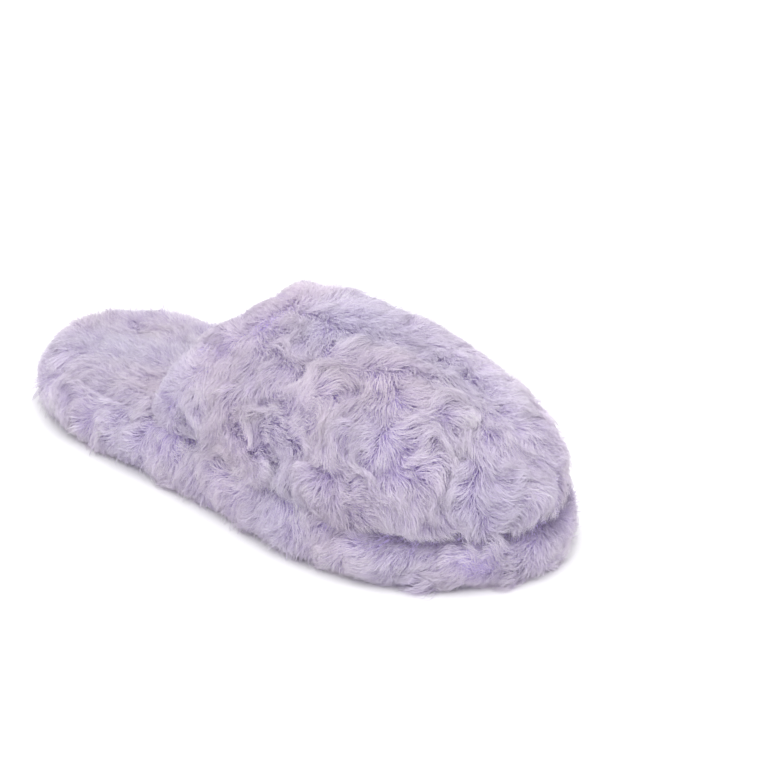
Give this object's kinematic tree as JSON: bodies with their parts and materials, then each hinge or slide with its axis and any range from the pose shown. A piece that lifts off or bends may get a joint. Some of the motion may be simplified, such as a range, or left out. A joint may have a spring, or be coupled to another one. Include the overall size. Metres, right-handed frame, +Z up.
{
  "type": "house slipper",
  "caption": "Closed-toe, open-heel house slipper in long lilac plush pile: deep vamp on a thick padded platform sole, right foot.",
  "frame": {"origin": "middle of the footprint's bounding box, on the ground under the outsole", "axes": "+X from heel to toe, +Y to the inner (big toe) side of the right foot, +Z up"},
  "size_m": [0.2752, 0.1112, 0.087],
  "materials": {
    "outer_pile": "long plush pile, matt, pale lilac",
    "sock_pile": "plush pile, matt, pale lilac",
    "lining_pile": "short plush, matt, pale lilac",
    "foam": "open-cell polyurethane foam",
    "midsole_foam": "closed-cell EVA foam",
    "board": "cellulose fibre board, matt",
    "sole_rubber": "matt moulded rubber, grey lilac",
    "tape": "woven tape",
    "thread": "spun polyester thread"
  },
  "bodies": {
    "forefoot": {"outsole_front": "sole_rubber", "midsole_front": "midsole_foam", "insole_board_front": "board", "footbed_foam_front": "foam", "sock_fur_front": "sock_pile", "wrap_fur_front": "outer_pile", "upper_fur": "outer_pile", "upper_foam": "foam", "upper_lining": "lining_pile", "topline_tape": "tape", "topline_thread": "thread", "seam_thread_front": "thread"},
    "heel": {"outsole_rear": "sole_rubber", "midsole_rear": "midsole_foam", "insole_board_rear": "board", "footbed_foam_rear": "foam", "sock_fur_rear": "sock_pile", "wrap_fur_rear": "outer_pile", "wrap_join_tape": "tape", "seam_thread_rear": "thread"}
  },
  "joints": [
    {"name": "sole_flex", "type": "hinge", "parent": "forefoot", "child": "heel", "pos_m": [-0.05253, 0, 0.025], "axis": [0, 1, 0], "range_deg": [0, 40], "stiffness_Nm_per_rad": 1.2}
  ]
}
